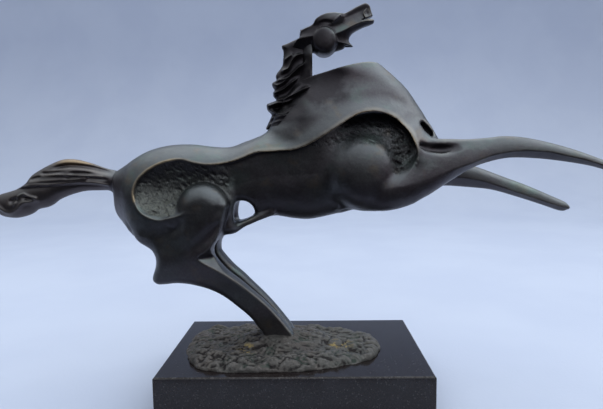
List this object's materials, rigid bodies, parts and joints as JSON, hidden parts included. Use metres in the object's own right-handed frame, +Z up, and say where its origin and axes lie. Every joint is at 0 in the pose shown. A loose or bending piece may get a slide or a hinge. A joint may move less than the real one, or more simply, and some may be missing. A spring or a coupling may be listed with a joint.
{
  "type": "bronze horse statue",
  "caption": "Stylised bronze horse leaping from its hind legs on a rough bronze ground, bolted to a dark polished stone plinth.",
  "frame": {"origin": "centre of the felt's lower face, under the middle of the plinth", "axes": "+Z up; +X along the plinth, the way the horse leaps; -Y towards the horse's near side"},
  "size_m": [0.6196, 0.15, 0.3823],
  "materials": {
    "bronze": "cast bronze with a dark green-brown patina, waxed, worn to golden metal on the rim",
    "ground_bronze": "rough cast bronze with the same dark patina and a few bright worn spots",
    "granite": "polished black granite with ground-off edges",
    "felt": "dark green wool felt",
    "steel": "bright zinc-plated steel",
    "fibre": "red vulcanised fibre"
  },
  "bodies": {
    "root": {"plinth": "granite", "felt_base": "felt", "ground_plate": "ground_bronze", "fibre_washers": "fibre", "mounting_studs": "steel", "steel_washers": "steel", "nuts": "steel", "hoof_pins": "steel", "near_hind_leg": "bronze", "far_hind_leg": "bronze", "rump": "bronze", "barrel": "bronze", "chest": "bronze", "near_foreleg": "bronze", "far_foreleg": "bronze", "neck": "bronze", "head": "bronze", "mane": "bronze", "tail": "bronze"}
  },
  "joints": []
}
